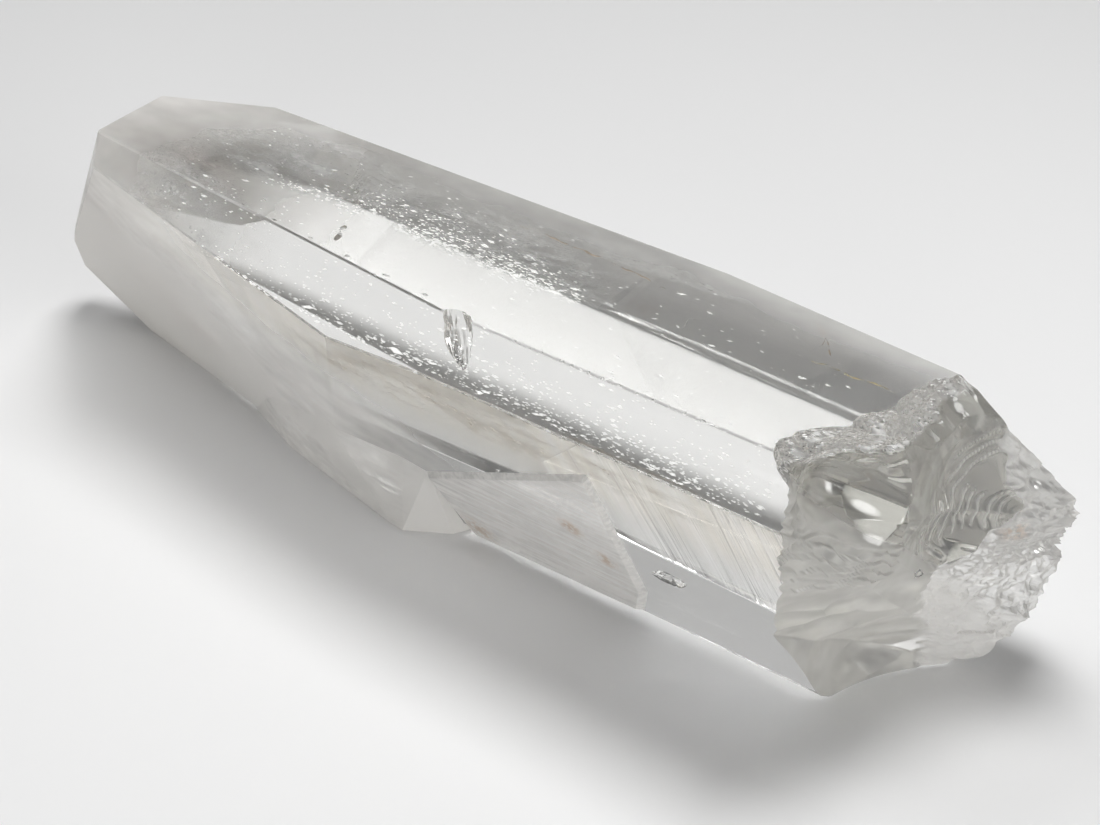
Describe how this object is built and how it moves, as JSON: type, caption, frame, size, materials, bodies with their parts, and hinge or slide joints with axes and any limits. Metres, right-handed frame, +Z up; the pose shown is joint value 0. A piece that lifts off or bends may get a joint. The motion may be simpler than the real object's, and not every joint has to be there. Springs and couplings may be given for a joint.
{
  "type": "quartz crystal",
  "caption": "Clear quartz point lying on a prism face, with flat prism and end faces, a shell-shaped broken base and a small plate crystal grown on its front.",
  "frame": {"origin": "on the ground, under the middle of the crystal's bounding box", "axes": "+X along the crystal from its natural point to its broken base, +Z up, -Y towards the front with the plate crystal"},
  "size_m": [0.1135, 0.035, 0.0315],
  "materials": {
    "clear_quartz": "clear, glassy faces with a frosted, shell-shaped broken base"
  },
  "bodies": {
    "root": {"quartz_crystal": "clear_quartz"}
  },
  "joints": []
}
